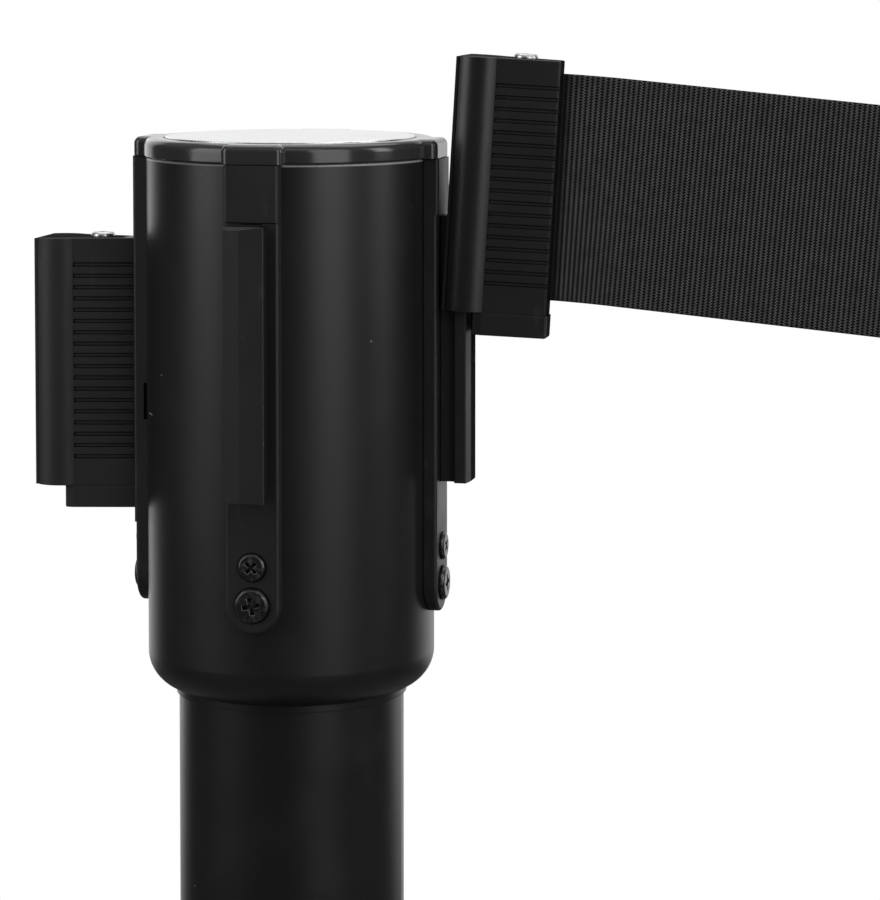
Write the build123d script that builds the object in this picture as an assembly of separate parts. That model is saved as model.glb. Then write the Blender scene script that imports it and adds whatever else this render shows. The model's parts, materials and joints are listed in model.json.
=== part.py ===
from build123d import *
import math
import os

# Retractable belt stanchion: a weighted round base, a 50 mm post and a head with a
# belt cassette, three belt receivers and one belt mouth.
# Origin: floor level on the post's axis. +Z is up. The front receiver faces -Y, the
# belt mouth faces -X. All sizes are in millimetres. FIT is the gap between parts that
# touch, and OVERRUN is how far a cutting solid reaches past the face that it cuts.
FIT = 0.05
OVERRUN = 1.0

# Base
BASE_R = 160.0
BASE_SHEET = 1.0
BASE_RIM_LOW = 1.2
BASE_RIM_HIGH = 9.0
BASE_SHOULDER_R = 8.0
BASE_DOME_SLOPE = 8.0
WEIGHT_R = 155.0
WEIGHT_LOW = 3.0
WEIGHT_RIM_HIGH = 12.0
WEIGHT_BEVEL = (151.0, 15.0)
WEIGHT_FLANK = (60.0, 21.0)
WEIGHT_TOP = 24.0
WEIGHT_TOP_R = 34.0
FLOOR_RING_R = 156.0
FLOOR_RING_INNER_R = 138.0
FLOOR_RING_ROUND = 0.8
COLLAR_R = 34.0
COLLAR_HIGH = 9.0
COLLAR_ROUND = 4.0

# Bolt that holds the post on the base, from below
POCKET_R = 20.0
POCKET_TOP = 15.0
BOLT_R = 5.95
BOLT_HEAD_ACROSS = 19.0
BOLT_HEAD = (2.9, 10.4)
BOLT_TIP = 42.0
LOCK_WASHER_R = 9.8
LOCK_WASHER = (10.45, 12.95)
WASHER_R = 16.0
WASHER = (13.0, 14.95)

# Post
POST_R = 25.0
POST_WALL = 1.5
POST_TOP = 829.0
LOWER_PLUG_THICK = 20.0
UPPER_PLUG_THICK = 16.0

# Head shell and cap
HEAD_R = 31.75
HEAD_SHEET = 1.2
HEAD_INNER_R = HEAD_R - HEAD_SHEET
HEAD_TOP = 936.0
HEAD_RIM_R = 0.5
SHOULDER_START = 826.5
SHOULDER_R = 8.0
NECK_R = 25.6
NECK_END = 817.2
CAP_R = 32.3
CAP_TOP = 940.2
CAP_EDGE_R = 1.8
CAP_FOOT_BEVEL = 0.3
CAP_RECESS_R = 27.7
CAP_RECESS_FLOOR = 939.3
CAP_PLATE = 2.0
CAP_SKIRT_R = 29.0
CAP_SKIRT_DROP = 8.0
CAP_HOLE_R = 2.2
DISC_THICK = 1.1
LUG_FACE = 34.3
LUG_HALF_WIDTH = 6.8
LUG_CORNER_R = 1.7
LUG_EDGE_R = 1.5
CAP_SCREW_HEAD_R = 3.2
CAP_SCREW_HEAD_DEEP = 1.5
CAP_SCREW_R = 1.6
CAP_SCREW_TIP = 920.0

# Dock strips, which stand on the head at 0, 90, 180 and 270 degrees
DOCK_FACE = 34.24
DOCK_WIDTH = 11.9
DOCK_EDGE_R = 0.7
DOCK_ROUND_Z = 841.9
DOCK_TOP = 935.9
PAD_FACE = 34.6
PAD_LOW = 923.9
MOUTH_PAD_LOW = 854.2
RAIL_LOW = 865.0
RAIL_TOP = 923.4
RAIL_NECK_HALF = 2.3
RAIL_HEAD_HALF = 4.42
RAIL_HEAD_INNER = 37.75
RAIL_HEAD_FACE = 40.84
RAIL_FACET_X = -0.9
RAIL_FACET_DROP = 0.45
RAIL_FACET_TOP_CHAMFER = 0.7
RAIL_CORNER_CHAMFER = 0.2
DOCK_ANGLES = {"front": 0, "right": 90, "back": 180}
MOUTH_ANGLE = -90
ALL_DOCK_ANGLES = (*DOCK_ANGLES.values(), MOUTH_ANGLE)

# Dock screws: height on the head, head radius, head height, shank radius, cross turn
SMALL_SCREW_Z = 850.4
SMALL_SCREW_HEAD_R = 3.0
SMALL_SCREW_HEAD_HIGH = 0.95
SMALL_SCREW_R = 1.45
SMALL_SCREW_TURN = 45
LARGE_SCREW_Z = 842.2
LARGE_SCREW_HEAD_R = 3.75
LARGE_SCREW_HEAD_HIGH = 1.2
LARGE_SCREW_R = 1.95
LARGE_SCREW_TURN = 12
DOCK_SCREW_LENGTH = 7.44
NUT_PLATE_HALF_WIDTH = 4.5
NUT_PLATE_INNER = 27.2
NUT_PLATE_Z = (837.5, 855.5)

# Cassette inside the head
CASSETTE_R = 30.3
BASE_PLATE = (829.0, 831.0)
TOP_PLATE = (921.2, 923.2)
POST_FIT = 0.02
PILLAR_CIRCLE_R = 27.6
PILLAR_R = 2.2
PILLAR_BORE_R = 1.2
PILLAR_BORE_DEEP = 8.0
PLATE_SCREW_HEAD_R = 2.1
PLATE_SCREW_HEAD_HIGH = 1.3
PLATE_SCREW_R = 1.15
GUIDE_X = -25.2
GUIDE_Y = 1.5
GUIDE_R = 1.2

# Spindle, its clip and its nut
SPINDLE_STUD_R = 3.95
SPINDLE_STUD_LOW = 815.0
SPINDLE_FOOT_R = 6.5
SPINDLE_FOOT_HIGH = 3.2
ARBOR_R = 4.5
SPINDLE_R = 3.5
SPINDLE_FIT = 0.06
SPINDLE_THREAD_R = 2.95
SPINDLE_TOP = 929.0
SPINDLE_TAP_R = 1.65
SPINDLE_TAP_LOW = 918.0
SPRING_SLOT_HALF = 0.4
CLIP_GROOVE = (920.2, 921.1)
CLIP_GROOVE_DEEP = 0.5
CLIP = (920.25, 921.05)
CLIP_R = 5.6
CLIP_MOUTH_HALF = 2.4
NUT_ACROSS = 10.0
NUT_HIGH = 4.5

# Drum
DRUM_FLANGE_R = 23.6
DRUM_FLANGE_THICK = 1.8
DRUM_WALL = 1.6
DRUM_HUB_R = 9.2
DRUM_BORE_R = 5.0
DRUM_BELT_GAP = 0.7
SPRING_CUP = (840.0, 862.4)
SPRING = (843.0, 860.0)
SPRING_TURNS = 11
SPRING_RIBBON = 0.35
ROLL_R = 20.5
BUSH_SLEEVE_R = 4.95
BUSH_FLANGE_R = 7.0
LOWER_BUSH_FLANGE = (861.2, 862.4)
LOWER_BUSH_SLEEVE = (862.35, 872.0)
UPPER_BUSH_FLANGE = (917.75, 920.1)
UPPER_BUSH_SLEEVE = (908.0, 917.8)

# Webbing
BELT_WIDTH = 49.5
BELT_THICK = 0.5

# Belt end: u runs from the hook face towards the belt, h up from the hook's foot
END_LENGTH = 22.55
END_HEIGHT = 55.5
END_TOP_ROUND = 0.3
HOOK_LENGTH = 8.9
HOOK_WALL = 1.1
HOOK_FRONT_HALF = 5.6
HOOK_WIDEST = (4.7, 6.9)
LIP_LENGTH = 0.9
LIP_HALF = 5.2
CHANNEL_END = 5.8
CHANNEL_HALF = 4.85
CHANNEL_SLOT_HALF = 2.9
CHANNEL_TOP = 53.2
WING_START_HALF = 5.45
WING_END_HALF = 2.8
WING_CORNER = 0.35
PIN_U = 14.4
PIN_R = 1.9
PIN_BORE_R = 1.3
LOOP_ROOM = 0.85
SLIT_HALF = 0.65
BELT_LOW = 3.25
BELT_CAVITY_TOP = BELT_LOW + BELT_WIDTH + 0.1
GROOVES = 18
GROOVE_PITCH = 2.53
GROOVE_FIRST_DROP = 6.0
GROOVE_HEIGHT = 0.95
GROOVE_DEPTH = 0.35
GROOVE_START = 0.15
LEDGE_START = 6.9
LEDGE_LENGTH = 22.85
LEDGE_HEIGHT = 5.0
LEDGE_SIDE = 0.1
LEDGE_CORNER_R = 0.5
LEDGE_FOOT_R = 0.4
LEDGE_JOINT_R = 0.15
END_SCREW_HEAD_R = 2.7
END_SCREW_HEAD_HIGH = 1.0
END_SCREW_R = 1.1
END_SCREW_BELOW = 3.6
END_SCREW_HOLE_R = 1.15

# Where the two belt ends are
OWN_END_X = -57.65
OWN_END_Z = 861.9
DOCKED_X = 35.15
DOCKED_Z = 903.25
DOCKED_TILT = 3.4
DOCKED_BELT_SLOPE = 5.4
DOCKED_BELT_END_X = 138.0

# Belt mouth: the slit that the head's own belt leaves through, and a catch window
MOUTH_SLIT_HALF = 1.0
MOUTH_FLARE_HALF = 1.7
MOUTH_FLARE_MORE = 0.7
SHELL_SLIT_HALF = 2.6
NOTCH_HALF = 8.0
NOTCH_DEPTH_Y = 32.2
NOTCH_LAND_HALF = 5.1
NOTCH_Z = (877.3, 885.4)


def cylinder(radius, low, high, x=0, y=0):
    """Upright cylinder between two heights."""
    centred_foot = (Align.CENTER, Align.CENTER, Align.MIN)
    return Pos(x, y, low) * Cylinder(radius, high - low, align=centred_foot)


def ring(outer, inner, low, high, x=0, y=0):
    """Upright tube between two heights."""
    bore = cylinder(inner, low - OVERRUN, high + OVERRUN, x, y)
    return cylinder(outer, low, high, x, y) - bore


def block(x_range, y_range, z_range):
    """Box from three (low, high) ranges."""
    sizes = [high - low for low, high in (x_range, y_range, z_range)]
    corner = (x_range[0], y_range[0], z_range[0])
    return Pos(*corner) * Box(*sizes, align=(Align.MIN, Align.MIN, Align.MIN))


def turned(*edges):
    """Solid of revolution about Z from a closed outline drawn as (radius, height)."""
    return revolve(Plane.XZ * make_face(list(edges)), Axis.Z)


def turned_points(*points):
    """Solid of revolution about Z from straight-sided outline points."""
    return turned(*Polyline(*points, close=True).edges())


def edges_at(solid, axis, value):
    """Edges that lie wholly at one coordinate along an axis."""
    return solid.edges().filter_by_position(axis, value - 0.01, value + 0.01)


def front_uprights(solid):
    """The two upright edges of a block that are nearest to -Y."""
    return solid.edges().filter_by(Axis.Z).sort_by(Axis.Y)[:2]


def on_dock(solid, angle):
    """Turns a solid modelled on the front (-Y) dock to another dock."""
    return Rot(0, 0, angle) * solid


def hexagon(across_flats, low, high):
    outline = RegularPolygon(across_flats / math.sqrt(3), 6)
    return extrude(Pos(0, 0, low) * outline, high - low)


def pan_screw(head_r, head_high, shank_r, length, cross_r, cross_turn):
    """Cross-head screw standing on z = 0: the head above, the shank below."""
    head = cylinder(head_r, 0, head_high)
    head = fillet(edges_at(head, Axis.Z, head_high), 0.7 * head_high)
    slot_half = 0.26 * cross_r
    slot_heights = (0.38 * head_high, head_high + OVERRUN)
    slot = block((-cross_r, cross_r), (-slot_half, slot_half), slot_heights)
    for turn in (cross_turn, cross_turn + 90):
        head -= Rot(0, 0, turn) * slot
    shank = cylinder(shank_r, -length, FIT)
    shank = chamfer(edges_at(shank, Axis.Z, -length), min(0.6, 0.4 * shank_r))
    return head + shank


# Base -------------------------------------------------------------------------------


def dome_curves(inset):
    """Outer (inset 0) or inner edge of the base cover's sheet, from rim to centre hole."""
    shoulder_x = BASE_R - BASE_SHOULDER_R
    shoulder_r = BASE_SHOULDER_R - inset
    slope = math.radians(BASE_DOME_SLOPE)
    foot_x = shoulder_x + BASE_SHOULDER_R * math.sin(slope)
    foot_z = BASE_RIM_HIGH + BASE_SHOULDER_R * math.cos(slope)
    dome_r = foot_x / math.sin(slope)
    centre_z = foot_z - dome_r * math.cos(slope)
    radius = dome_r - inset
    hole_r = POST_R + 0.3
    hole_turn = math.degrees(math.asin(hole_r / radius))
    steep = 90 - BASE_DOME_SLOPE
    rim = Line((BASE_R - inset, BASE_RIM_LOW), (BASE_R - inset, BASE_RIM_HIGH))
    shoulder = CenterArc((shoulder_x, BASE_RIM_HIGH), shoulder_r, 0, steep)
    dome = CenterArc((0, centre_z), radius, steep, BASE_DOME_SLOPE - hole_turn)
    return rim, shoulder, dome


def make_base_cover():
    outer = dome_curves(0)
    inner = dome_curves(BASE_SHEET)
    rim_edge = Line(outer[0] @ 0, inner[0] @ 0)
    hole_edge = Line(outer[2] @ 1, inner[2] @ 1)
    return turned(*outer, *inner, rim_edge, hole_edge)


def dome_apex():
    """Height of the base cover's outer face at the post."""
    return (dome_curves(0)[2] @ 1).Y


def make_base_weight():
    bolt_hole_r = BOLT_R + 0.6
    return turned_points(
        (POCKET_R, WEIGHT_LOW),
        (WEIGHT_R, WEIGHT_LOW),
        (WEIGHT_R, WEIGHT_RIM_HIGH),
        WEIGHT_BEVEL,
        WEIGHT_FLANK,
        (WEIGHT_TOP_R, WEIGHT_TOP),
        (bolt_hole_r, WEIGHT_TOP),
        (bolt_hole_r, POCKET_TOP),
        (POCKET_R, POCKET_TOP),
    )


def make_floor_ring():
    top = WEIGHT_LOW - FIT
    return turned_points(
        (FLOOR_RING_INNER_R, top),
        (FLOOR_RING_INNER_R, FLOOR_RING_ROUND),
        (FLOOR_RING_INNER_R + FLOOR_RING_ROUND, 0),
        (FLOOR_RING_R - FLOOR_RING_ROUND, 0),
        (FLOOR_RING_R, FLOOR_RING_ROUND),
        (FLOOR_RING_R, top),
    )


def make_base_collar():
    low = dome_apex() + FIT
    high = low + COLLAR_HIGH
    collar = ring(COLLAR_R, POST_R + 0.1, low, high)
    outer_edge = edges_at(collar, Axis.Z, high).sort_by(SortBy.RADIUS)[-1:]
    return fillet(outer_edge, COLLAR_ROUND)


def make_base_washer():
    return ring(WASHER_R, BOLT_R + 0.3, *WASHER)


def make_lock_washer():
    """Spring washer, split by a sloping gap."""
    split = Box(1.2, 12, 12, align=(Align.CENTER, Align.MIN, Align.CENTER))
    middle = sum(LOCK_WASHER) / 2
    return ring(LOCK_WASHER_R, BOLT_R + 0.25, *LOCK_WASHER) - Pos(0, 0, middle) * Rot(0, 20, 0) * split


def make_base_bolt():
    shank = cylinder(BOLT_R, BOLT_HEAD[1] - 0.1, BOLT_TIP)
    shank = chamfer(edges_at(shank, Axis.Z, BOLT_TIP), 1)
    return hexagon(BOLT_HEAD_ACROSS, *BOLT_HEAD) + shank


# Post -------------------------------------------------------------------------------


def make_post_tube():
    return ring(POST_R, POST_R - POST_WALL, WEIGHT_TOP + FIT, POST_TOP)


def make_plug(low, high, hole_r):
    """Steel disc welded in an end of the tube."""
    return ring(POST_R - POST_WALL - FIT, hole_r, low, high)


# Head shell and cap -----------------------------------------------------------------


def neck_turn(radius, reach):
    """Angle of the shoulder arc that ends at a given radius from the axis."""
    return math.degrees(math.acos((reach - (HEAD_R - SHOULDER_R)) / radius))


def make_head_shell():
    """Sheet tube that curves in at its foot to a neck round the post."""
    centre = (HEAD_R - SHOULDER_R, SHOULDER_START)
    inner_r = POST_R + FIT
    outer_arc = CenterArc(centre, SHOULDER_R, 0, -neck_turn(SHOULDER_R, NECK_R))
    inner_bend = SHOULDER_R - HEAD_SHEET
    inner_arc = CenterArc(centre, inner_bend, 0, -neck_turn(inner_bend, inner_r))
    shell = turned(
        Line((HEAD_R, HEAD_TOP), (HEAD_R, SHOULDER_START)),
        outer_arc,
        Line(outer_arc @ 1, (NECK_R, NECK_END)),
        Line((NECK_R, NECK_END), (inner_r, NECK_END)),
        Line((inner_r, NECK_END), inner_arc @ 1),
        inner_arc,
        Line((HEAD_INNER_R, SHOULDER_START), (HEAD_INNER_R, HEAD_TOP)),
        Line((HEAD_INNER_R, HEAD_TOP), (HEAD_R, HEAD_TOP)),
    )
    shell = fillet(edges_at(shell, Axis.Z, HEAD_TOP).sort_by(SortBy.RADIUS)[-1:], HEAD_RIM_R)
    for angle in ALL_DOCK_ANGLES:
        shell -= on_dock(screw_holes(0.1), angle)
    slit_z = (OWN_END_Z + 1, OWN_END_Z + END_HEIGHT)
    slit = block((-HEAD_R - OVERRUN, -HEAD_INNER_R + 2), (-SHELL_SLIT_HALF, SHELL_SLIT_HALF), slit_z)
    return shell - slit


def screw_holes(clearance):
    """Two holes through a dock on the front, for its small and its large screw."""
    small = Rot(90, 0, 0) * cylinder(SMALL_SCREW_R + clearance, 20, 40)
    large = Rot(90, 0, 0) * cylinder(LARGE_SCREW_R + clearance, 20, 40)
    return Pos(0, 0, SMALL_SCREW_Z) * small + Pos(0, 0, LARGE_SCREW_Z) * large


def make_cap():
    """Plug-in cap with a shallow recess for the disc and a lug over each dock."""
    seat = HEAD_TOP + FIT
    plug_r = HEAD_INNER_R - 0.1
    plate_low = CAP_RECESS_FLOOR - CAP_PLATE
    plug_low = HEAD_TOP - CAP_SKIRT_DROP
    edge_centre = (CAP_R - CAP_EDGE_R, CAP_TOP - CAP_EDGE_R)
    outline = Polyline(
        (CAP_R - CAP_EDGE_R, CAP_TOP),
        (CAP_RECESS_R + 0.3, CAP_TOP),
        (CAP_RECESS_R, CAP_RECESS_FLOOR),
        (CAP_HOLE_R, CAP_RECESS_FLOOR),
        (CAP_HOLE_R, plate_low),
        (CAP_SKIRT_R, plate_low),
        (CAP_SKIRT_R, plug_low),
        (plug_r, plug_low),
        (plug_r, seat),
        (CAP_R - CAP_FOOT_BEVEL, seat),
        (CAP_R, seat + CAP_FOOT_BEVEL),
        (CAP_R, CAP_TOP - CAP_EDGE_R),
    )
    cap = turned(CenterArc(edge_centre, CAP_EDGE_R, 0, 90), *outline.edges())
    countersink_r = CAP_SCREW_HEAD_R + 0.2
    cap -= turned_points(
        (0, CAP_RECESS_FLOOR),
        (countersink_r, CAP_RECESS_FLOOR),
        (CAP_HOLE_R - 0.2, CAP_RECESS_FLOOR - CAP_SCREW_HEAD_DEEP),
        (0, CAP_RECESS_FLOOR - CAP_SCREW_HEAD_DEEP),
    )
    for angle in ALL_DOCK_ANGLES:
        cap += on_dock(make_lug(), angle)
    return cap


def make_lug():
    """Tab of the cap that covers the top of a dock strip."""
    z_range = (HEAD_TOP + FIT, CAP_TOP)
    lug = block((-LUG_HALF_WIDTH, LUG_HALF_WIDTH), (-LUG_FACE, -29.5), z_range)
    lug = fillet(front_uprights(lug), LUG_CORNER_R)
    top_edges = edges_at(lug, Axis.Z, CAP_TOP).filter_by(lambda edge: edge.center().Y < -30)
    return fillet(top_edges, LUG_EDGE_R)


def make_cap_disc():
    low = CAP_RECESS_FLOOR + FIT
    high = low + DISC_THICK
    disc = cylinder(CAP_RECESS_R - 0.15, low, high)
    return chamfer(edges_at(disc, Axis.Z, high), 0.15)


def make_cap_screw():
    """Countersunk screw through the cap into the spindle, hidden under the disc."""
    top = CAP_RECESS_FLOOR - FIT
    screw = turned_points(
        (0, top),
        (CAP_SCREW_HEAD_R, top),
        (CAP_SCREW_R, top - CAP_SCREW_HEAD_DEEP),
        (CAP_SCREW_R, CAP_SCREW_TIP),
        (0, CAP_SCREW_TIP),
    )
    cross = Box(3.4, 0.7, 1.6) + Box(0.7, 3.4, 1.6)
    return screw - Pos(0, 0, top) * cross


# Docks ------------------------------------------------------------------------------


def make_dock_strip(pad_low):
    """Strip on the front of the head: square at the top, round at the foot. It is a little
    thicker above pad_low."""
    half = DOCK_WIDTH / 2
    middle = (DOCK_TOP + DOCK_ROUND_Z) / 2
    outline = Pos(0, middle) * Rectangle(DOCK_WIDTH, DOCK_TOP - DOCK_ROUND_Z)
    outline += Pos(0, DOCK_ROUND_Z) * Circle(half)
    strip = extrude(Plane.XZ * outline, DOCK_FACE)
    strip = fillet(edges_at(strip, Axis.Y, -DOCK_FACE), DOCK_EDGE_R)
    pad = block((-half, half), (-PAD_FACE, -HEAD_R), (pad_low, DOCK_TOP))
    pad = fillet(front_uprights(pad), DOCK_EDGE_R)
    strip += pad
    strip -= cylinder(HEAD_R + FIT, SHOULDER_START, DOCK_TOP + OVERRUN)
    return strip - screw_holes(0.08)


def make_rail():
    """T-shaped rail that a belt end slides down on."""
    neck_y = (-RAIL_HEAD_INNER - 0.1, -DOCK_FACE + 0.4)
    neck = block((-RAIL_NECK_HALF, RAIL_NECK_HALF), neck_y, (RAIL_LOW, RAIL_TOP))
    facet_edge_y = -RAIL_HEAD_FACE + RAIL_FACET_DROP
    head_plan = Polyline(
        (-RAIL_HEAD_HALF, -RAIL_HEAD_INNER),
        (RAIL_HEAD_HALF, -RAIL_HEAD_INNER),
        (RAIL_HEAD_HALF, -RAIL_HEAD_FACE),
        (RAIL_FACET_X, -RAIL_HEAD_FACE),
        (-RAIL_HEAD_HALF, facet_edge_y),
        close=True,
    )
    head = extrude(Pos(0, 0, RAIL_LOW) * make_face(head_plan), RAIL_TOP - RAIL_LOW)
    facet_top = edges_at(head, Axis.Z, RAIL_TOP).filter_by(
        lambda edge: edge.center().X < RAIL_FACET_X and edge.center().Y < facet_edge_y
    )
    head = chamfer(facet_top, RAIL_FACET_TOP_CHAMFER)
    corners = head.edges().filter_by(Axis.Z).filter_by(lambda edge: abs(edge.center().X) > 4)
    return neck + chamfer(corners, RAIL_CORNER_CHAMFER)


def make_receiver(angle):
    return on_dock(make_dock_strip(PAD_LOW) + make_rail(), angle)


def make_belt_mouth():
    """Strip with the slit for the belt and, behind its edges, a catch window."""
    low = OWN_END_Z + BELT_LOW - 1
    high = low + BELT_WIDTH + 2
    slit = block((-MOUTH_SLIT_HALF, MOUTH_SLIT_HALF), (-40, -30), (low, high))
    flare_z = (low - MOUTH_FLARE_MORE, high + MOUTH_FLARE_MORE)
    flare = block((-MOUTH_FLARE_HALF, MOUTH_FLARE_HALF), (-40, -PAD_FACE + 1), flare_z)
    notch = block((-NOTCH_HALF, NOTCH_HALF), (-NOTCH_DEPTH_Y, -31), NOTCH_Z)
    notch -= block((-NOTCH_LAND_HALF, NOTCH_LAND_HALF), (-34, -30), NOTCH_Z)
    return on_dock(make_dock_strip(MOUTH_PAD_LOW) - slit - flare - notch, MOUTH_ANGLE)


def on_every_dock(solid):
    """One copy of a solid on each dock, as a group."""
    return Compound([on_dock(solid, angle) for angle in ALL_DOCK_ANGLES])


def make_dock_screws(height, head_r, head_high, shank_r, cross_turn):
    screw = pan_screw(head_r, head_high, shank_r, DOCK_SCREW_LENGTH, 0.5 * head_r, cross_turn)
    return on_every_dock(Pos(0, -DOCK_FACE, height) * Rot(90, 0, 0) * screw)


def make_nut_plates():
    """Threaded backing plates inside the shell, one behind each dock."""
    x_range = (-NUT_PLATE_HALF_WIDTH, NUT_PLATE_HALF_WIDTH)
    plate = block(x_range, (-HEAD_R, -NUT_PLATE_INNER), NUT_PLATE_Z)
    plate &= cylinder(HEAD_INNER_R - 0.1, SHOULDER_START, HEAD_TOP)
    return on_every_dock(plate - screw_holes(FIT))


# Cassette ---------------------------------------------------------------------------


def pillar_places():
    turns = [math.radians(45 + 90 * index) for index in range(4)]
    return [(PILLAR_CIRCLE_R * math.cos(turn), PILLAR_CIRCLE_R * math.sin(turn)) for turn in turns]


def between_plates():
    """Heights of a post that stands between the two cassette plates."""
    return BASE_PLATE[1] + POST_FIT, TOP_PLATE[0] - POST_FIT


def make_cassette_plate(low, high, hole_r):
    plate = ring(CASSETTE_R, hole_r, low, high)
    for x, y in pillar_places():
        plate -= cylinder(PLATE_SCREW_R + 0.1, low - OVERRUN, high + OVERRUN, x, y)
    return plate


def make_pillars():
    low, high = between_plates()
    pillars = []
    for x, y in pillar_places():
        pillar = cylinder(PILLAR_R, low, high, x, y)
        pillar -= cylinder(PILLAR_BORE_R, low - OVERRUN, low + PILLAR_BORE_DEEP, x, y)
        pillar -= cylinder(PILLAR_BORE_R, high - PILLAR_BORE_DEEP, high + OVERRUN, x, y)
        pillars.append(pillar)
    return Compound(pillars)


def make_cassette_screws():
    length = PILLAR_BORE_DEEP
    screw = pan_screw(PLATE_SCREW_HEAD_R, PLATE_SCREW_HEAD_HIGH, PLATE_SCREW_R, length, 1.1, 20)
    upper = Pos(0, 0, TOP_PLATE[1]) * screw
    lower = Pos(0, 0, BASE_PLATE[0]) * Rot(180, 0, 0) * screw
    return Compound([Pos(x, y, 0) * part for x, y in pillar_places() for part in (upper, lower)])


def make_belt_guides():
    """Pair of pins that the belt passes between on its way to the mouth."""
    heights = between_plates()
    return Compound([cylinder(GUIDE_R, *heights, GUIDE_X, side * GUIDE_Y) for side in (-1, 1)])


def make_spindle():
    """Fixed axle: stud, foot, spring arbor, bearing length, clip groove and threaded top."""
    foot_low = BASE_PLATE[1] + POST_FIT
    foot_high = BASE_PLATE[1] + SPINDLE_FOOT_HIGH
    arbor_top = SPRING_CUP[1] - 1.35
    groove_r = SPINDLE_R - CLIP_GROOVE_DEEP
    thread_low = TOP_PLATE[1] + 0.1
    shaft = turned_points(
        (0, SPINDLE_STUD_LOW),
        (SPINDLE_STUD_R, SPINDLE_STUD_LOW),
        (SPINDLE_STUD_R, foot_low),
        (SPINDLE_FOOT_R, foot_low),
        (SPINDLE_FOOT_R, foot_high),
        (ARBOR_R, foot_high),
        (ARBOR_R, arbor_top),
        (SPINDLE_R, arbor_top),
        (SPINDLE_R, CLIP_GROOVE[0]),
        (groove_r, CLIP_GROOVE[0]),
        (groove_r, CLIP_GROOVE[1]),
        (SPINDLE_R, CLIP_GROOVE[1]),
        (SPINDLE_R, thread_low),
        (SPINDLE_THREAD_R, thread_low),
        (SPINDLE_THREAD_R, SPINDLE_TOP),
        (0, SPINDLE_TOP),
    )
    shaft -= cylinder(SPINDLE_TAP_R, SPINDLE_TAP_LOW, SPINDLE_TOP + OVERRUN)
    slot_y = (-SPRING_SLOT_HALF, SPRING_SLOT_HALF)
    return shaft - block((-6, 0), slot_y, (SPRING[0] - OVERRUN, SPRING[1]))


def make_spindle_clip():
    """Open ring that snaps in the spindle's groove above the drum."""
    clip = ring(CLIP_R, SPINDLE_R - CLIP_GROOVE_DEEP + FIT, *CLIP)
    mouth_z = (CLIP[0] - OVERRUN, CLIP[1] + OVERRUN)
    return clip - block((0, CLIP_R + OVERRUN), (-CLIP_MOUTH_HALF, CLIP_MOUTH_HALF), mouth_z)


def make_spindle_nut():
    low = TOP_PLATE[1] + 0.12
    high = low + NUT_HIGH
    bore = cylinder(SPINDLE_THREAD_R + FIT, low - OVERRUN, high + OVERRUN)
    return hexagon(NUT_ACROSS, low, high) - bore


def make_drum():
    """Drum with the spring's cup below and two flanges that the belt winds between."""
    low, roof = SPRING_CUP
    belt_low = OWN_END_Z + BELT_LOW - DRUM_BELT_GAP
    belt_high = belt_low + BELT_WIDTH + 2 * DRUM_BELT_GAP
    top = belt_high + DRUM_FLANGE_THICK
    cup_r = DRUM_FLANGE_R - DRUM_WALL
    return turned_points(
        (cup_r, low),
        (DRUM_FLANGE_R, low),
        (DRUM_FLANGE_R, belt_low),
        (DRUM_HUB_R, belt_low),
        (DRUM_HUB_R, belt_high),
        (DRUM_FLANGE_R, belt_high),
        (DRUM_FLANGE_R, top),
        (DRUM_BORE_R, top),
        (DRUM_BORE_R, roof),
        (cup_r, roof),
    )


def make_bush(flange, sleeve):
    """Flanged bush that runs on the spindle and is pressed in the drum."""
    bore_r = SPINDLE_R + SPINDLE_FIT
    return ring(BUSH_SLEEVE_R, bore_r, *sleeve) + ring(BUSH_FLANGE_R, bore_r, *flange)


def make_spring_cover():
    high = SPRING_CUP[0] - FIT
    return ring(DRUM_FLANGE_R - 0.1, ARBOR_R + 2.6, high - 1.55, high)


def make_power_spring():
    """Wound steel ribbon, drawn as half circles whose radius grows step by step."""
    first = ARBOR_R + 0.6
    last = DRUM_FLANGE_R - DRUM_WALL - 0.6
    step = (last - first) / (2 * SPRING_TURNS)
    halves = []
    radius = first
    start_x = -first
    for index in range(2 * SPRING_TURNS):
        side = -1 if index % 2 == 0 else 1
        centre_x = start_x - side * radius
        start_angle = 180 if side < 0 else 0
        halves.append(CenterArc((centre_x, 0), radius, start_angle, 180))
        start_x = centre_x - side * radius
        radius += step
    ribbon = trace(halves, line_width=SPRING_RIBBON)
    return extrude(Pos(0, 0, SPRING[0]) * ribbon, SPRING[1] - SPRING[0])


def make_belt_roll():
    low = OWN_END_Z + BELT_LOW
    return ring(ROLL_R, DRUM_HUB_R + FIT, low, low + BELT_WIDTH)


# Belt ends --------------------------------------------------------------------------


def end_outline():
    """Plan of the belt end: a round hook bead, then a tapering wing."""
    front = (LIP_LENGTH, HOOK_FRONT_HALF)
    waist = (HOOK_LENGTH, WING_START_HALF)
    corner = (END_LENGTH - WING_CORNER, WING_END_HALF)
    back = (END_LENGTH, WING_END_HALF - WING_CORNER)
    edges = [
        Line((LIP_LENGTH, 0), front),
        ThreePointArc(front, HOOK_WIDEST, waist),
        Line(waist, corner),
        Line(corner, back),
        Line(back, (END_LENGTH, 0)),
        Line((END_LENGTH, 0), (LIP_LENGTH, 0)),
    ]
    half = make_face(edges)
    return half + mirror(half, Plane.XZ)


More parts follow.
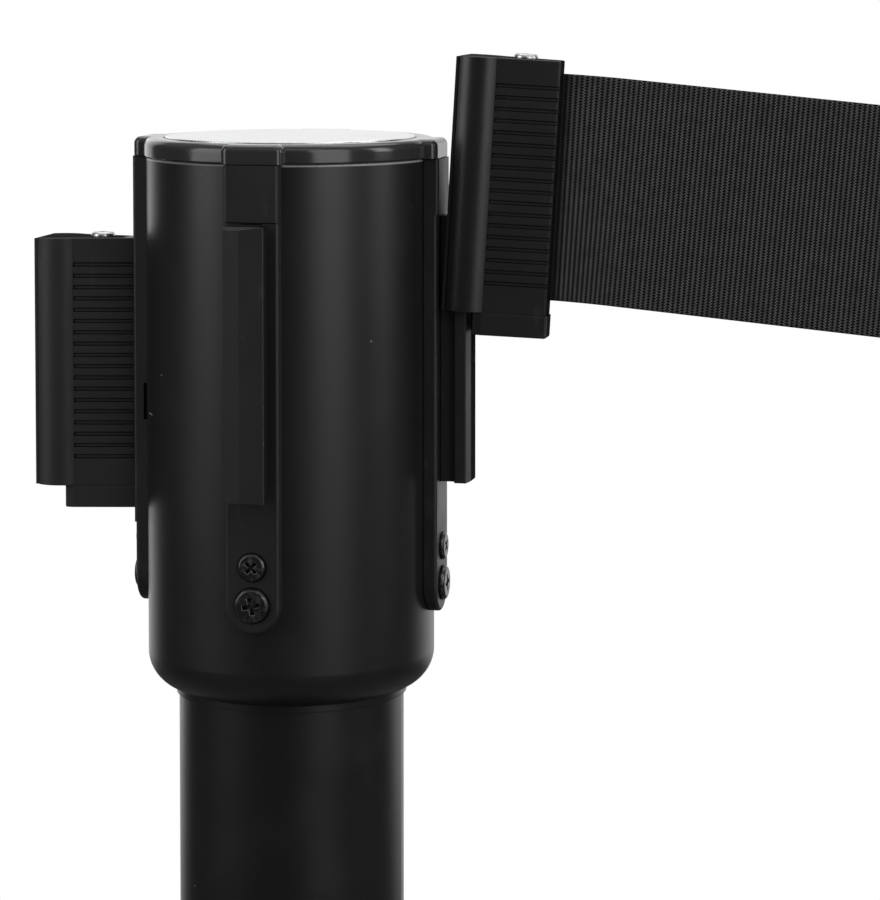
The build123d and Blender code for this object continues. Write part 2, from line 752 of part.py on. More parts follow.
def groove_cutters():
    """Grip grooves across both wings."""
    run = END_LENGTH - WING_CORNER - HOOK_LENGTH
    taper = math.degrees(math.atan2(WING_END_HALF - WING_START_HALF, run))
    start_middle = (Align.MIN, Align.CENTER, Align.CENTER)
    bar = Box(18, 2 * GROOVE_DEPTH, GROOVE_HEIGHT, align=start_middle)
    on_wing = Pos(HOOK_LENGTH + GROOVE_START, WING_START_HALF, 0) * Rot(0, 0, taper) * bar
    cutters = []
    for index in range(GROOVES):
        height = END_HEIGHT - GROOVE_FIRST_DROP - index * GROOVE_PITCH
        cutter = Pos(0, 0, height) * on_wing
        cutters += [cutter, mirror(cutter, Plane.XZ)]
    return cutters


def make_end_body():
    """Moulded belt end: a channel for the rail, a cavity for the belt's loop and pin."""
    body = extrude(end_outline(), END_HEIGHT)
    body = fillet(edges_at(body, Axis.Z, END_HEIGHT), END_TOP_ROUND)
    lip_z = (0, END_HEIGHT - END_TOP_ROUND)
    body += block((0, LIP_LENGTH + END_TOP_ROUND), (-LIP_HALF, LIP_HALF), lip_z)
    channel_z = (-OVERRUN, CHANNEL_TOP)
    body -= block((HOOK_WALL, CHANNEL_END), (-CHANNEL_HALF, CHANNEL_HALF), channel_z)
    slot_y = (-CHANNEL_SLOT_HALF, CHANNEL_SLOT_HALF)
    body -= block((-OVERRUN, HOOK_WALL + 0.1), slot_y, channel_z)
    body -= cylinder(PIN_R + LOOP_ROOM, -OVERRUN, BELT_CAVITY_TOP, PIN_U)
    slit_z = (-OVERRUN, BELT_CAVITY_TOP)
    body -= block((PIN_U, END_LENGTH + OVERRUN), (-SLIT_HALF, SLIT_HALF), slit_z)
    body -= cylinder(PIN_BORE_R, BELT_CAVITY_TOP - OVERRUN, END_HEIGHT + OVERRUN, PIN_U)
    return body - groove_cutters()


def make_end_base():
    """Foot of the belt end, which closes the cavity from below."""
    start_half = WING_START_HALF + LEDGE_SIDE
    half = make_face(
        Polyline(
            (LEDGE_START, 0),
            (LEDGE_START, start_half),
            (HOOK_LENGTH, start_half),
            (LEDGE_LENGTH, WING_END_HALF),
            (LEDGE_LENGTH, 0),
            close=True,
        )
    )
    outline = half + mirror(half, Plane.XZ)
    base = extrude(Pos(0, 0, -LEDGE_HEIGHT) * outline, LEDGE_HEIGHT - FIT)
    end_corners = edges_at(base, Axis.X, LEDGE_START) + edges_at(base, Axis.X, LEDGE_LENGTH)
    base = fillet(end_corners.filter_by(Axis.Z), LEDGE_CORNER_R)
    base = fillet(edges_at(base, Axis.Z, -LEDGE_HEIGHT), LEDGE_FOOT_R)
    base = fillet(edges_at(base, Axis.Z, -FIT), LEDGE_JOINT_R)
    return base - cylinder(END_SCREW_HOLE_R, 1 - LEDGE_HEIGHT, OVERRUN, PIN_U)


def make_end_pin():
    return ring(PIN_R, PIN_BORE_R, 0.02, BELT_CAVITY_TOP - FIT, PIN_U)


def make_end_screw():
    """Long screw down through the body and the hollow pin into the foot."""
    length = END_HEIGHT + END_SCREW_BELOW
    screw = pan_screw(END_SCREW_HEAD_R, END_SCREW_HEAD_HIGH, END_SCREW_R, length, 1.2, 30)
    return Pos(PIN_U, 0, END_HEIGHT) * screw


def loop_plan():
    """Plan of the sewn loop round the pin, two layers thick behind it."""
    inner_r = PIN_R + 0.07
    loop = Pos(PIN_U, 0) * (Circle(inner_r + BELT_THICK) - Circle(inner_r))
    hem_start = PIN_U + PIN_R + 0.2
    hem_length = END_LENGTH - 1 - hem_start
    hem = Rectangle(hem_length, 2 * BELT_THICK, align=(Align.MIN, Align.CENTER))
    return loop + Pos(hem_start, 0) * hem


def belt_path():
    """Centre line of the belt in plan: off the roll, round one guide, out of the mouth."""
    roll_r = ROLL_R + BELT_THICK / 2 + 0.02
    bend_r = GUIDE_Y
    gap = math.hypot(GUIDE_X, GUIDE_Y)
    towards_guide = math.atan2(GUIDE_Y, GUIDE_X)
    turn = towards_guide - math.acos((roll_r + bend_r) / gap)
    leave = (roll_r * math.cos(turn), roll_r * math.sin(turn))
    touch_angle = math.degrees(turn) + 180
    bend = CenterArc((GUIDE_X, GUIDE_Y), bend_r, touch_angle, 270 - touch_angle)
    out = Line((GUIDE_X, 0), (OWN_END_X + END_LENGTH - 1.1, 0))
    return [Line(leave, bend @ 0), bend, out]


def make_own_belt():
    """Free stretch of the head's own belt, from the roll to the loop in its end."""
    run = trace(belt_path(), line_width=BELT_THICK)
    plan = run + Pos(OWN_END_X, 0) * loop_plan()
    return extrude(Pos(0, 0, OWN_END_Z + BELT_LOW) * plan, BELT_WIDTH)


def docked(solid):
    """Places a belt end part on the right-hand rail, lifted and leaning as it goes on."""
    return Pos(DOCKED_X, 0, DOCKED_Z) * Rot(0, DOCKED_TILT, 0) * solid


def belt_middle_at(u):
    """Mid-width point (x, z) of the docked belt at a distance u along its belt end."""
    tilt = math.radians(DOCKED_TILT)
    middle = BELT_LOW + BELT_WIDTH / 2
    x = DOCKED_X + u * math.cos(tilt) + middle * math.sin(tilt)
    z = DOCKED_Z - u * math.sin(tilt) + middle * math.cos(tilt)
    return x, z


def ahead(point, distance, slope):
    """Point further along the belt at a downward slope."""
    return point[0] + distance * math.cos(slope), point[1] - distance * math.sin(slope)


def make_docked_belt():
    """The neighbour's belt: its loop in the belt end and a length of it hanging off level."""
    tilt = math.radians(DOCKED_TILT)
    slope = math.radians(DOCKED_BELT_SLOPE)
    bend_length = 12
    start = belt_middle_at(END_LENGTH - 2)
    bend = belt_middle_at(END_LENGTH + 2)
    after_bend = ahead(bend, bend_length, (tilt + slope) / 2)
    finish = ahead(after_bend, (DOCKED_BELT_END_X - after_bend[0]) / math.cos(slope), slope)
    stations = [(start, tilt), (bend, tilt), (after_bend, slope), (finish, slope)]
    upper = [ahead(point, -BELT_WIDTH / 2, angle + math.pi / 2) for point, angle in stations]
    lower = [ahead(point, BELT_WIDTH / 2, angle + math.pi / 2) for point, angle in stations]
    panel = make_face(Polyline(*upper, *reversed(lower), close=True))
    loop = docked(extrude(Pos(0, 0, BELT_LOW) * loop_plan(), BELT_WIDTH))
    return loop + extrude(Plane.XZ * panel, BELT_THICK / 2, both=True)


# Assembly ---------------------------------------------------------------------------


def own(solid):
    """Places a belt end part where the head's own belt end parks."""
    return Pos(OWN_END_X, 0, OWN_END_Z) * solid


def base_and_post_nodes():
    lower_plug_low = WEIGHT_TOP + FIT
    lower_plug_high = WEIGHT_TOP + LOWER_PLUG_THICK
    return {
        "floor_ring": make_floor_ring(),
        "base_weight": make_base_weight(),
        "base_cover": make_base_cover(),
        "base_collar": make_base_collar(),
        "base_washer": make_base_washer(),
        "lock_washer": make_lock_washer(),
        "base_bolt": make_base_bolt(),
        "post_plug_lower": make_plug(lower_plug_low, lower_plug_high, BOLT_R + FIT),
        "post_tube": make_post_tube(),
        "post_plug_upper": make_plug(POST_TOP - UPPER_PLUG_THICK, POST_TOP, SPINDLE_STUD_R + FIT),
    }


def head_nodes():
    nodes = {
        "head_shell": make_head_shell(),
        "cap": make_cap(),
        "cap_disc": make_cap_disc(),
        "cap_screw": make_cap_screw(),
        "belt_mouth": make_belt_mouth(),
        "dock_screws_upper": make_dock_screws(
            SMALL_SCREW_Z, SMALL_SCREW_HEAD_R, SMALL_SCREW_HEAD_HIGH, SMALL_SCREW_R, SMALL_SCREW_TURN
        ),
        "dock_screws_lower": make_dock_screws(
            LARGE_SCREW_Z, LARGE_SCREW_HEAD_R, LARGE_SCREW_HEAD_HIGH, LARGE_SCREW_R, LARGE_SCREW_TURN
        ),
        "nut_plates": make_nut_plates(),
    }
    for side, angle in DOCK_ANGLES.items():
        nodes[f"receiver_{side}"] = make_receiver(angle)
    return nodes


def cassette_nodes():
    return {
        "cassette_base": make_cassette_plate(*BASE_PLATE, SPINDLE_STUD_R + FIT),
        "cassette_top": make_cassette_plate(*TOP_PLATE, SPINDLE_R + FIT),
        "cassette_pillars": make_pillars(),
        "cassette_screws": make_cassette_screws(),
        "belt_guides": make_belt_guides(),
        "spindle": make_spindle(),
        "spindle_clip": make_spindle_clip(),
        "spindle_nut": make_spindle_nut(),
        "drum": make_drum(),
        "drum_bush_lower": make_bush(LOWER_BUSH_FLANGE, LOWER_BUSH_SLEEVE),
        "drum_bush_upper": make_bush(UPPER_BUSH_FLANGE, UPPER_BUSH_SLEEVE),
        "spring_cover": make_spring_cover(),
        "power_spring": make_power_spring(),
        "belt_roll": make_belt_roll(),
    }


def belt_nodes():
    end_parts = {
        "body": make_end_body(),
        "base": make_end_base(),
        "pin": make_end_pin(),
        "screw": make_end_screw(),
    }
    nodes = {"own_belt": make_own_belt(), "docked_belt": make_docked_belt()}
    for part_name, part in end_parts.items():
        nodes[f"own_end_{part_name}"] = own(part)
        nodes[f"docked_end_{part_name}"] = docked(part)
    return nodes


os.makedirs("parts", exist_ok=True)
for node_group in (base_and_post_nodes(), head_nodes(), cassette_nodes(), belt_nodes()):
    for node_name, node_solid in node_group.items():
        export_step(node_solid, f"parts/{node_name}.step")
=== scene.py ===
import json
import math

import bpy
import numpy as np
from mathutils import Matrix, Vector


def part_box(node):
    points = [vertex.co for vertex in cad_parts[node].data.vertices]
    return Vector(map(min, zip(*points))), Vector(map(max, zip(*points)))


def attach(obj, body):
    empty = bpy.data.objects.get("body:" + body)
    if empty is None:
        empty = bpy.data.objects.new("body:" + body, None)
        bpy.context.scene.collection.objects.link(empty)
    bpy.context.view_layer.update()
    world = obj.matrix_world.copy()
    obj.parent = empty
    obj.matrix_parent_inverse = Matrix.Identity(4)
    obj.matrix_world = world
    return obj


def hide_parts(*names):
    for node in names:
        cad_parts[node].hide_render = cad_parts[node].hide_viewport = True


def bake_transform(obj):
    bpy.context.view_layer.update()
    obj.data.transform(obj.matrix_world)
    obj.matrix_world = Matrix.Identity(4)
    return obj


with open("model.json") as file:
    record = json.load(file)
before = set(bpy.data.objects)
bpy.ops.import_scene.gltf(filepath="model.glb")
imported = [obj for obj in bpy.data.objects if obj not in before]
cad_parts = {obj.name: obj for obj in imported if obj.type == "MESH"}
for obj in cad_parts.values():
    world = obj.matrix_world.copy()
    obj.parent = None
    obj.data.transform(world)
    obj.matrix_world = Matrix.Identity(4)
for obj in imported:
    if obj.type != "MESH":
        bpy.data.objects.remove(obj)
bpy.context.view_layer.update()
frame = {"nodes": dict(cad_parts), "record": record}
RECORD = frame["record"]
NODES = frame["nodes"]

MM = 0.001

# Look of the head. Plastic further from the post's axis than DULL_FROM is worn dull, and the shell's top rim
# gets a painted highlight, given as how far below the shell's top it starts and where it is full
DULL_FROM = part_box("receiver_right")[1].x - 3.84 * MM
DULL_FADE = 1 * MM
RIM_HIGHLIGHT = (0.6 * MM, 0.4 * MM)

# Webbing: its thickness, its ribs across the belt and the yarns that make each rib
BELT_THICK = 0.5 * MM
EDGE_ROUND = 0.5 * MM
RIB_PITCH = 1.08 * MM
YARN_PITCH = 0.62 * MM
RIB_RELIEF = 0.2 * MM
UV_UNIT = 0.1

# Loop of the webbing round the pin of a belt end, with the hem beside the run
PIN_GAP = 0.07 * MM
HEM_SHIFT = 0.26 * MM
ENTRY_SETBACK = 0.6 * MM
HEM_SETBACK = 1.0 * MM
STEP_ASIDE = 1.2 * MM
LOOP_POINTS = 33

# The head's own belt
GUIDE_BEND_POINTS = 9
OWN_STEP = 0.2 * MM
OWN_ROWS = 34

# The wound belt
ROLL_INNER_R = 9.5 * MM
ROLL_TURNS = 14
ROLL_POINTS_PER_TURN = 60
ROLL_ROWS = 12

# The neighbour's belt: its slope, the bend into it and a stretch of painted shadow where it leaves its belt
# end, given as two lengths along the webbing from its hem: dark to the first, full from the second
DOCKED_SLOPE = math.radians(5.4)
DOCKED_STRAIGHT = 2 * MM
DOCKED_BENDS = 12
DOCKED_BEND_STEP = 1 * MM
DOCKED_STEP = 0.18 * MM
DOCKED_ROWS = 166
PAINTED_SHADOW_STRETCH = (25.2 * MM, 26.8 * MM)

# Floor
FLOOR_RADIUS = 2.4
FLOOR_SIDES = 96
FLOOR_FADE = (0.9, 2.3)

# Camera: where it stands, which way it looks and how its lens is shifted. The shift holds
# while the camera is within SHIFT_TOLERANCE of its place
CAMERA_AZIMUTH = math.radians(11.83)
CAMERA_PITCH = math.radians(3.67)
CAMERA_DISTANCE = 733.4 * MM
CAMERA_TARGET_RIGHT = 31.0 * MM
CAMERA_TARGET_HEIGHT = 933.7 * MM
CAMERA_LENS_MM = 132.85
CAMERA_SHIFT = (0.0102, -0.3156)
SHIFT_TOLERANCE = 1 * MM


# Shader helpers ---------------------------------------------------------------------


class Graph:
    """A material's node tree, with one short call per node."""

    def __init__(self, name, tree=None):
        if tree is None:
            self.material = bpy.data.materials.new(name)
            self.material.use_nodes = True
            tree = self.material.node_tree
        self.tree = tree
        self.tree.nodes.clear()

    def add(self, kind, settings=None, **inputs):
        """Adds a node. Inputs are named with _ for a space; a value may be a socket."""
        node = self.tree.nodes.new("ShaderNode" + kind)
        for key, value in (settings or {}).items():
            setattr(node, key, value)
        for key, value in inputs.items():
            self.put(node.inputs[key.replace("_", " ")], value)
        return node

    def put(self, socket, value):
        if isinstance(value, bpy.types.NodeSocket):
            self.tree.links.new(value, socket)
        elif socket.type == "RGBA" and len(value) == 3:
            socket.default_value = (*value, 1)
        else:
            socket.default_value = value

    def math(self, operation, first, second=0.0):
        node = self.add("Math", {"operation": operation})
        self.put(node.inputs[0], first)
        self.put(node.inputs[1], second)
        return node.outputs[0]

    def remap(self, value, low, high, to_low=0.0, to_high=1.0):
        """Clamped straight-line map of a value."""
        node = self.add("MapRange", {"clamp": True}, Value=value)
        ends = {"From Min": low, "From Max": high, "To Min": to_low, "To Max": to_high}
        for name, number in ends.items():
            node.inputs[name].default_value = number
        return node.outputs["Result"]

    def noise(self, coords, scale, detail=2.0, roughness=0.5):
        node = self.add("TexNoise", Vector=coords, Scale=scale, Detail=detail, Roughness=roughness)
        return node.outputs["Fac"]

    def stretched(self, coords, scale):
        return self.add("Mapping", Vector=coords, Scale=scale).outputs["Vector"]

    def mix(self, factor, first, second):
        node = self.add("Mix", {"data_type": "RGBA"})
        self.put(node.inputs["Factor"], factor)
        self.put(node.inputs[6], first)
        self.put(node.inputs[7], second)
        return node.outputs[2]

    def object_coords(self):
        return self.add("TexCoord").outputs["Object"]

    def place(self):
        """Where the shaded point is in the scene."""
        return self.add("NewGeometry").outputs["Position"]

    def vector_math(self, operation, first, second=None):
        """Vector node of one or two vectors; the caller picks its output."""
        node = self.add("VectorMath", {"operation": operation})
        self.put(node.inputs[0], first)
        if second is not None:
            self.put(node.inputs[1], second)
        return node

    def soft_edges(self, radius):
        """(normal rounded at the edges, mask that is 1 on them)."""
        rounded = self.add("Bevel", {"samples": 4}, Radius=radius).outputs["Normal"]
        flat = self.add("NewGeometry").outputs["Normal"]
        agreement = self.vector_math("DOT_PRODUCT", rounded, flat).outputs["Value"]
        return rounded, self.remap(agreement, 0.995, 0.85)

    def crevices(self, reach, open_share, shut_share):
        """1 in corners that are closed in within reach, 0 on open faces. The shares say how
        much of the view out counts as open and as shut."""
        node = self.add("AmbientOcclusion", {"samples": 6}, Distance=reach)
        return self.remap(node.outputs["AO"], open_share, shut_share)

    def bump(self, height, depth, normal=None):
        node = self.add("Bump", Height=height, Distance=depth, Strength=1.0)
        if normal is not None:
            self.put(node.inputs["Normal"], normal)
        return node.outputs["Normal"]

    def surface(self, **inputs):
        shader = self.add("BsdfPrincipled", **inputs)
        output = self.add("OutputMaterial")
        self.tree.links.new(shader.outputs[0], output.inputs["Surface"])
        return self.material


def specks(graph, coords, scale, share, size):
    """1 on sparse small dots: a share of the cells hold one each."""
    cells = graph.add("TexVoronoi", Vector=coords, Scale=scale)
    close = graph.remap(cells.outputs["Distance"], size, size * 0.6)
    split = graph.add("SeparateColor", Color=cells.outputs["Color"])
    chosen = graph.math("GREATER_THAN", split.outputs[0], 1.0 - share)
    return graph.math("MULTIPLY", close, chosen)


def scratches(graph, coords, scale, share):
    """1 on sparse short level lines."""
    return specks(graph, graph.stretched(coords, (0.12, 0.12, 1.0)), scale, share, 0.09)


# Materials ---------------------------------------------------------------------------


def painted_rim_highlight(graph, coords):
    """Painted highlight on the shell's top edge: 1 there, weaker in patches, and 0 below it."""
    height = graph.add("SeparateXYZ", Vector=graph.place()).outputs["Z"]
    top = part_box("head_shell")[1].z
    rim = graph.remap(height, top - RIM_HIGHLIGHT[0], top - RIM_HIGHLIGHT[1])
    patches = graph.remap(graph.noise(coords, 30, 2), 0.35, 0.6, 0.25, 1.0)
    return graph.math("MULTIPLY", rim, patches)


def powder_coat(name):
    """Satin black paint: orange peel, faint smudges, a few light specks and scratches, and a painted
    highlight along the shell's top rim.
    """
    graph = Graph(name)
    coords = graph.object_coords()
    rounded, edge = graph.soft_edges(0.35 * MM)
    patches = graph.noise(coords, 18, 3)
    smudges = graph.remap(graph.noise(coords, 45, 4, 0.65), 0.52, 0.75)
    dots = specks(graph, coords, 170, 0.12, 0.075)
    lines = scratches(graph, coords, 300, 0.06)
    marks = graph.math("MAXIMUM", dots, lines)
    peel = graph.noise(coords, 1500, 2)
    mark_level = graph.math("MULTIPLY", marks, 0.85)
    color = graph.mix(mark_level, (0.0075, 0.0071, 0.0071), (0.24, 0.24, 0.235))
    color = graph.mix(graph.math("MULTIPLY", smudges, 0.35), color, (0.016, 0.016, 0.0165))
    color = graph.mix(graph.math("MULTIPLY", edge, 0.3), color, (0.03, 0.03, 0.03))
    roughness = graph.remap(patches, 0.3, 0.7, 0.32, 0.39)
    return graph.surface(
        # The shell's top rim is painted pale grey as a painted highlight
        Base_Color=graph.mix(painted_rim_highlight(graph, coords), color, (0.5, 0.5, 0.5)),
        Roughness=graph.math("ADD", roughness, graph.math("MULTIPLY", smudges, 0.06)),
        Normal=graph.bump(peel, 0.012 * MM, rounded),
        Specular_IOR_Level=0.5,
    )


def gloss_plastic(name):
    """Glossy black plastic with fine scratches."""
    graph = Graph(name)
    coords = graph.object_coords()
    rounded, edge = graph.soft_edges(0.2 * MM)
    wear = graph.remap(graph.noise(coords, 120, 4, 0.6), 0.45, 0.8)
    lines = scratches(graph, coords, 400, 0.03)
    color = graph.mix(graph.math("MULTIPLY", lines, 0.3), (0.034, 0.034, 0.035), (0.14, 0.14, 0.14))
    return graph.surface(
        Base_Color=graph.mix(graph.math("MULTIPLY", edge, 0.2), color, (0.03, 0.03, 0.03)),
        Roughness=graph.remap(wear, 0.0, 1.0, 0.14, 0.2),
        Normal=graph.bump(graph.noise(coords, 300, 2), 0.02 * MM, rounded),
    )


def dulled_outside(graph):
    """1 on faces seen edge-on that are further from the post's axis than DULL_FROM."""
    level = graph.vector_math("MULTIPLY", graph.place(), (1, 1, 0)).outputs["Vector"]
    from_axis = graph.vector_math("LENGTH", level).outputs["Value"]
    outside = graph.remap(from_axis, DULL_FROM, DULL_FROM + DULL_FADE)
    facing = graph.add("LayerWeight", Blend=0.5).outputs["Facing"]
    return graph.math("MULTIPLY", outside, graph.remap(facing, 0.6, 0.8))


def matte_plastic(name, base, roughness=(0.42, 0.52)):
    """Grained black plastic: painted shade in its grooves and corners, lighter on scuffs, dots and worn
    edges.
    """
    graph = Graph(name)
    coords = graph.object_coords()
    rounded, edge = graph.soft_edges(0.12 * MM)
    # Painted shade: corners closed in within reach are painted near black and lose their reflection
    crevice_shade = graph.crevices(0.4 * MM, 0.92, 0.72)
    patches = graph.noise(coords, 60, 3)
    grain = graph.noise(coords, 4200, 2, 0.6)
    scuff = graph.noise(graph.stretched(coords, (1, 1, 0.35)), 260, 4, 0.7)
    scuff_level = graph.math("MULTIPLY", graph.remap(scuff, 0.6, 0.78), 0.25)
    dot_level = graph.math("MULTIPLY", specks(graph, coords, 220, 0.05, 0.08), 0.6)
    light = graph.math("MAXIMUM", scuff_level, dot_level)
    color = graph.mix(light, (base, base, base * 1.04), (0.09, 0.09, 0.09))
    worn = graph.math("MULTIPLY", edge, graph.remap(patches, 0.35, 0.65, 0.1, 0.5))
    color = graph.mix(worn, color, (0.06, 0.06, 0.06))
    return graph.surface(
        Base_Color=graph.mix(crevice_shade, color, (0.002, 0.002, 0.002)),
        Roughness=graph.remap(patches, 0.3, 0.7, *roughness),
        IOR=graph.remap(dulled_outside(graph), 0.0, 1.0, 1.5, 1.005),
        Specular_IOR_Level=graph.remap(crevice_shade, 0.0, 1.0, 0.5, 0.03),
        Normal=graph.bump(grain, 0.014 * MM, rounded),
    )


def satin_disc(name):
    """Brushed pale metal with soft stains."""
    graph = Graph(name)
    coords = graph.object_coords()
    rounded, _ = graph.soft_edges(0.12 * MM)
    stains = graph.remap(graph.noise(coords, 60, 4, 0.6), 0.35, 0.8)
    brushed = graph.noise(graph.stretched(coords, (0.04, 1, 1)), 2500, 2)
    color = graph.mix(graph.math("MULTIPLY", stains, 0.5), (0.82, 0.82, 0.83), (0.66, 0.67, 0.68))
    return graph.surface(
        Base_Color=color,
        Metallic=1.0,
        Roughness=graph.remap(brushed, 0.3, 0.7, 0.22, 0.32),
        Normal=graph.bump(brushed, 0.004 * MM, rounded),
    )


def black_screw(name):
    """Black oxide screw: chipped, light at its edges as wear and a painted glint, and painted black shade in
    its recess.
    """
    graph = Graph(name)
    coords = graph.object_coords()
    rounded, edge = graph.soft_edges(0.25 * MM)
    # Painted shade: the recess is painted near black and loses its reflection
    crevice_shade = graph.crevices(0.8 * MM, 0.85, 0.5)
    chips = graph.remap(graph.noise(coords, 900, 3, 0.6), 0.5, 0.7)
    # Light edges: partly worn metal, partly a painted glint; the chips are wear
    edge_glint = graph.math("MULTIPLY", edge, 0.55)
    worn = graph.math("MAXIMUM", edge_glint, graph.math("MULTIPLY", chips, 0.3))
    color = graph.mix(worn, (0.05, 0.05, 0.051), (0.4, 0.39, 0.38))
    return graph.surface(
        Base_Color=graph.mix(crevice_shade, color, (0.002, 0.002, 0.002)),
        Metallic=0.85,
        Roughness=graph.remap(chips, 0.0, 1.0, 0.3, 0.42),
        Specular_IOR_Level=graph.remap(crevice_shade, 0.0, 1.0, 0.5, 0.03),
        Normal=graph.bump(graph.noise(coords, 1800, 3), 0.015 * MM, rounded),
    )


def metal(name, bright, dark, roughness, grain_scale, grain_depth, metallic=1.0):
    """Plain metal: two tones in patches, worn light edges and a fine grain."""
    graph = Graph(name)
    coords = graph.object_coords()
    rounded, edge = graph.soft_edges(0.3 * MM)
    patches = graph.remap(graph.noise(coords, 160, 4, 0.6), 0.35, 0.7)
    grain = graph.noise(coords, grain_scale, 3, 0.6)
    color = graph.mix(patches, bright, dark)
    lighter = tuple(min(1.0, channel * 1.35 + 0.02) for channel in bright)
    return graph.surface(
        Base_Color=graph.mix(graph.math("MULTIPLY", edge, 0.5), color, lighter),
        Metallic=metallic,
        Roughness=graph.remap(patches, 0.0, 1.0, roughness, roughness + 0.14),
        Normal=graph.bump(grain, grain_depth, rounded),
    )


def moulded(name, color, shade, roughness, grain_depth):
    """Plain plastic or rubber with a fine moulded grain."""
    graph = Graph(name)
    coords = graph.object_coords()
    rounded, edge = graph.soft_edges(0.3 * MM)
    patches = graph.remap(graph.noise(coords, 90, 4, 0.6), 0.3, 0.7)
    base = graph.mix(patches, color, shade)
    lighter = tuple(channel * 1.5 for channel in color)
    return graph.surface(
        Base_Color=graph.mix(graph.math("MULTIPLY", edge, 0.3), base, lighter),
        Roughness=graph.remap(patches, 0.0, 1.0, roughness, roughness + 0.1),
        Normal=graph.bump(graph.noise(coords, 2600, 3), grain_depth, rounded),
    )


def webbing(name, coords_of, relief, shade_of=None):
    """Ribbed black webbing, with painted highlights on its yarn crests and painted shade between them.
    coords_of gives (along, across) in metres as two sockets.
    shade_of may give a factor from the distance along, for a stretch under a painted shadow."""
    graph = Graph(name)
    along, across = coords_of(graph)
    rib_turn = graph.math("MULTIPLY", along, 2 * math.pi / RIB_PITCH)
    rib = graph.remap(graph.math("COSINE", rib_turn), -1, 1)
    rib_number = graph.math("FLOOR", graph.math("DIVIDE", along, RIB_PITCH))
    offset = graph.math("MULTIPLY", graph.math("MODULO", rib_number, 2.0), math.pi)
    yarn_turn = graph.math("ADD", graph.math("MULTIPLY", across, 2 * math.pi / YARN_PITCH), offset)
    yarn = graph.remap(graph.math("COSINE", yarn_turn), -1, 1)
    uneven = graph.noise(graph.object_coords(), 350, 4, 0.7)
    dots = graph.remap(yarn, 0.25, 0.9, 0.0, 1.2)
    # Painted light on the yarns: light crests are painted highlights, near-black gaps are painted shade
    painted_crest_light = graph.math("MULTIPLY", graph.math("POWER", rib, 1.1), dots)
    painted_crest_light = graph.math("MULTIPLY", painted_crest_light, graph.remap(uneven, 0.3, 0.7, 0.55, 1.2))
    fibres = graph.noise(graph.object_coords(), 9000, 2, 0.7)
    ribs_height = graph.math("MULTIPLY", painted_crest_light, relief)
    height = graph.math("ADD", ribs_height, graph.math("MULTIPLY", fibres, 0.02))
    if shade_of is not None:
        painted_crest_light = graph.math("MULTIPLY", painted_crest_light, shade_of(graph, along))
    return graph.surface(
        Base_Color=graph.mix(painted_crest_light, (0.011, 0.011, 0.0115), (0.17, 0.166, 0.174)),
        Roughness=graph.remap(fibres, 0.3, 0.7, 0.5, 0.68),
        Specular_IOR_Level=graph.remap(painted_crest_light, 0.0, 0.8, 0.04, 0.45),
        Sheen_Weight=graph.math("MULTIPLY", painted_crest_light, 0.15),
        Sheen_Roughness=0.4,
        Normal=graph.bump(height, RIB_RELIEF),
    )


def painted_shadow_by_the_end(graph, along):
    """Painted shadow of the belt end on its webbing: a factor that is low where the webbing leaves its belt
    end and 1 a little further on.
    """
    return graph.remap(along, *PAINTED_SHADOW_STRETCH, 0.15, 1.0)


def object_sides(graph):
    """Along and across a strap that lies in the XZ plane, so that stretching adds ribs."""
    split = graph.add("SeparateXYZ", Vector=graph.object_coords())
    return split.outputs["X"], split.outputs["Z"]


def unrolled_sides(graph):
    """Along and across a strap from the lengths kept in its UV map."""
    split = graph.add("SeparateXYZ", Vector=graph.add("UVMap", {"uv_map": "strap"}).outputs["UV"])
    along = graph.math("MULTIPLY", split.outputs["X"], UV_UNIT)
    across = graph.math("MULTIPLY", split.outputs["Y"], UV_UNIT)
    return along, across


# One material per slot of the record
SLOT_MATERIALS = {
    "black_powder_coat": powder_coat("powder_coat"),
    "gloss_black_plastic": gloss_plastic("gloss_plastic"),
    "matte_black_plastic": matte_plastic("matte_plastic", 0.0125),
    "silver_disc": satin_disc("satin_disc"),
    "black_screw_steel": black_screw("black_screw"),
    "zinc_steel": metal(
        "zinc_steel", bright=(0.62, 0.63, 0.62), dark=(0.5, 0.51, 0.52), roughness=0.24, grain_scale=900,
        grain_depth=0.02 * MM,
    ),
    "cast_iron": metal(
        "cast_iron", bright=(0.06, 0.058, 0.056), dark=(0.04, 0.038, 0.036), roughness=0.55, grain_scale=420,
        grain_depth=0.25 * MM, metallic=0.5,
    ),
    "floor_rubber": moulded("floor_rubber", (0.022, 0.022, 0.022), (0.03, 0.03, 0.029), 0.7, 0.05 * MM),
    "bush_plastic": moulded("bush_plastic", (0.72, 0.7, 0.64), (0.66, 0.64, 0.57), 0.4, 0.01 * MM),
    "drum_plastic": moulded("drum_plastic", (0.05, 0.05, 0.055), (0.04, 0.04, 0.043), 0.42, 0.02 * MM),
    "spring_steel": metal(
        "spring_steel", bright=(0.3, 0.33, 0.4), dark=(0.22, 0.24, 0.3), roughness=0.22, grain_scale=1400,
        grain_depth=0.01 * MM,
    ),
    "black_webbing": webbing("webbing", object_sides, 0.9),
}

# Nodes that share the slot of matte plastic but have their own version of it. The head's own belt end is
# painted a lighter black than the same plastic elsewhere, as painted light; the neighbour's is glossier
OWN_END_LIT_PLASTIC = matte_plastic("own_end_lit_plastic", 0.021)
DOCKED_END_PLASTIC = matte_plastic("docked_end_plastic", 0.012, (0.3, 0.36))
NODE_MATERIALS = {
    "own_end_body": OWN_END_LIT_PLASTIC,
    "own_end_base": OWN_END_LIT_PLASTIC,
    "docked_end_body": DOCKED_END_PLASTIC,
    "docked_end_base": DOCKED_END_PLASTIC,
}

ROLLED_WEBBING = webbing("webbing_rolled", unrolled_sides, 0.35)
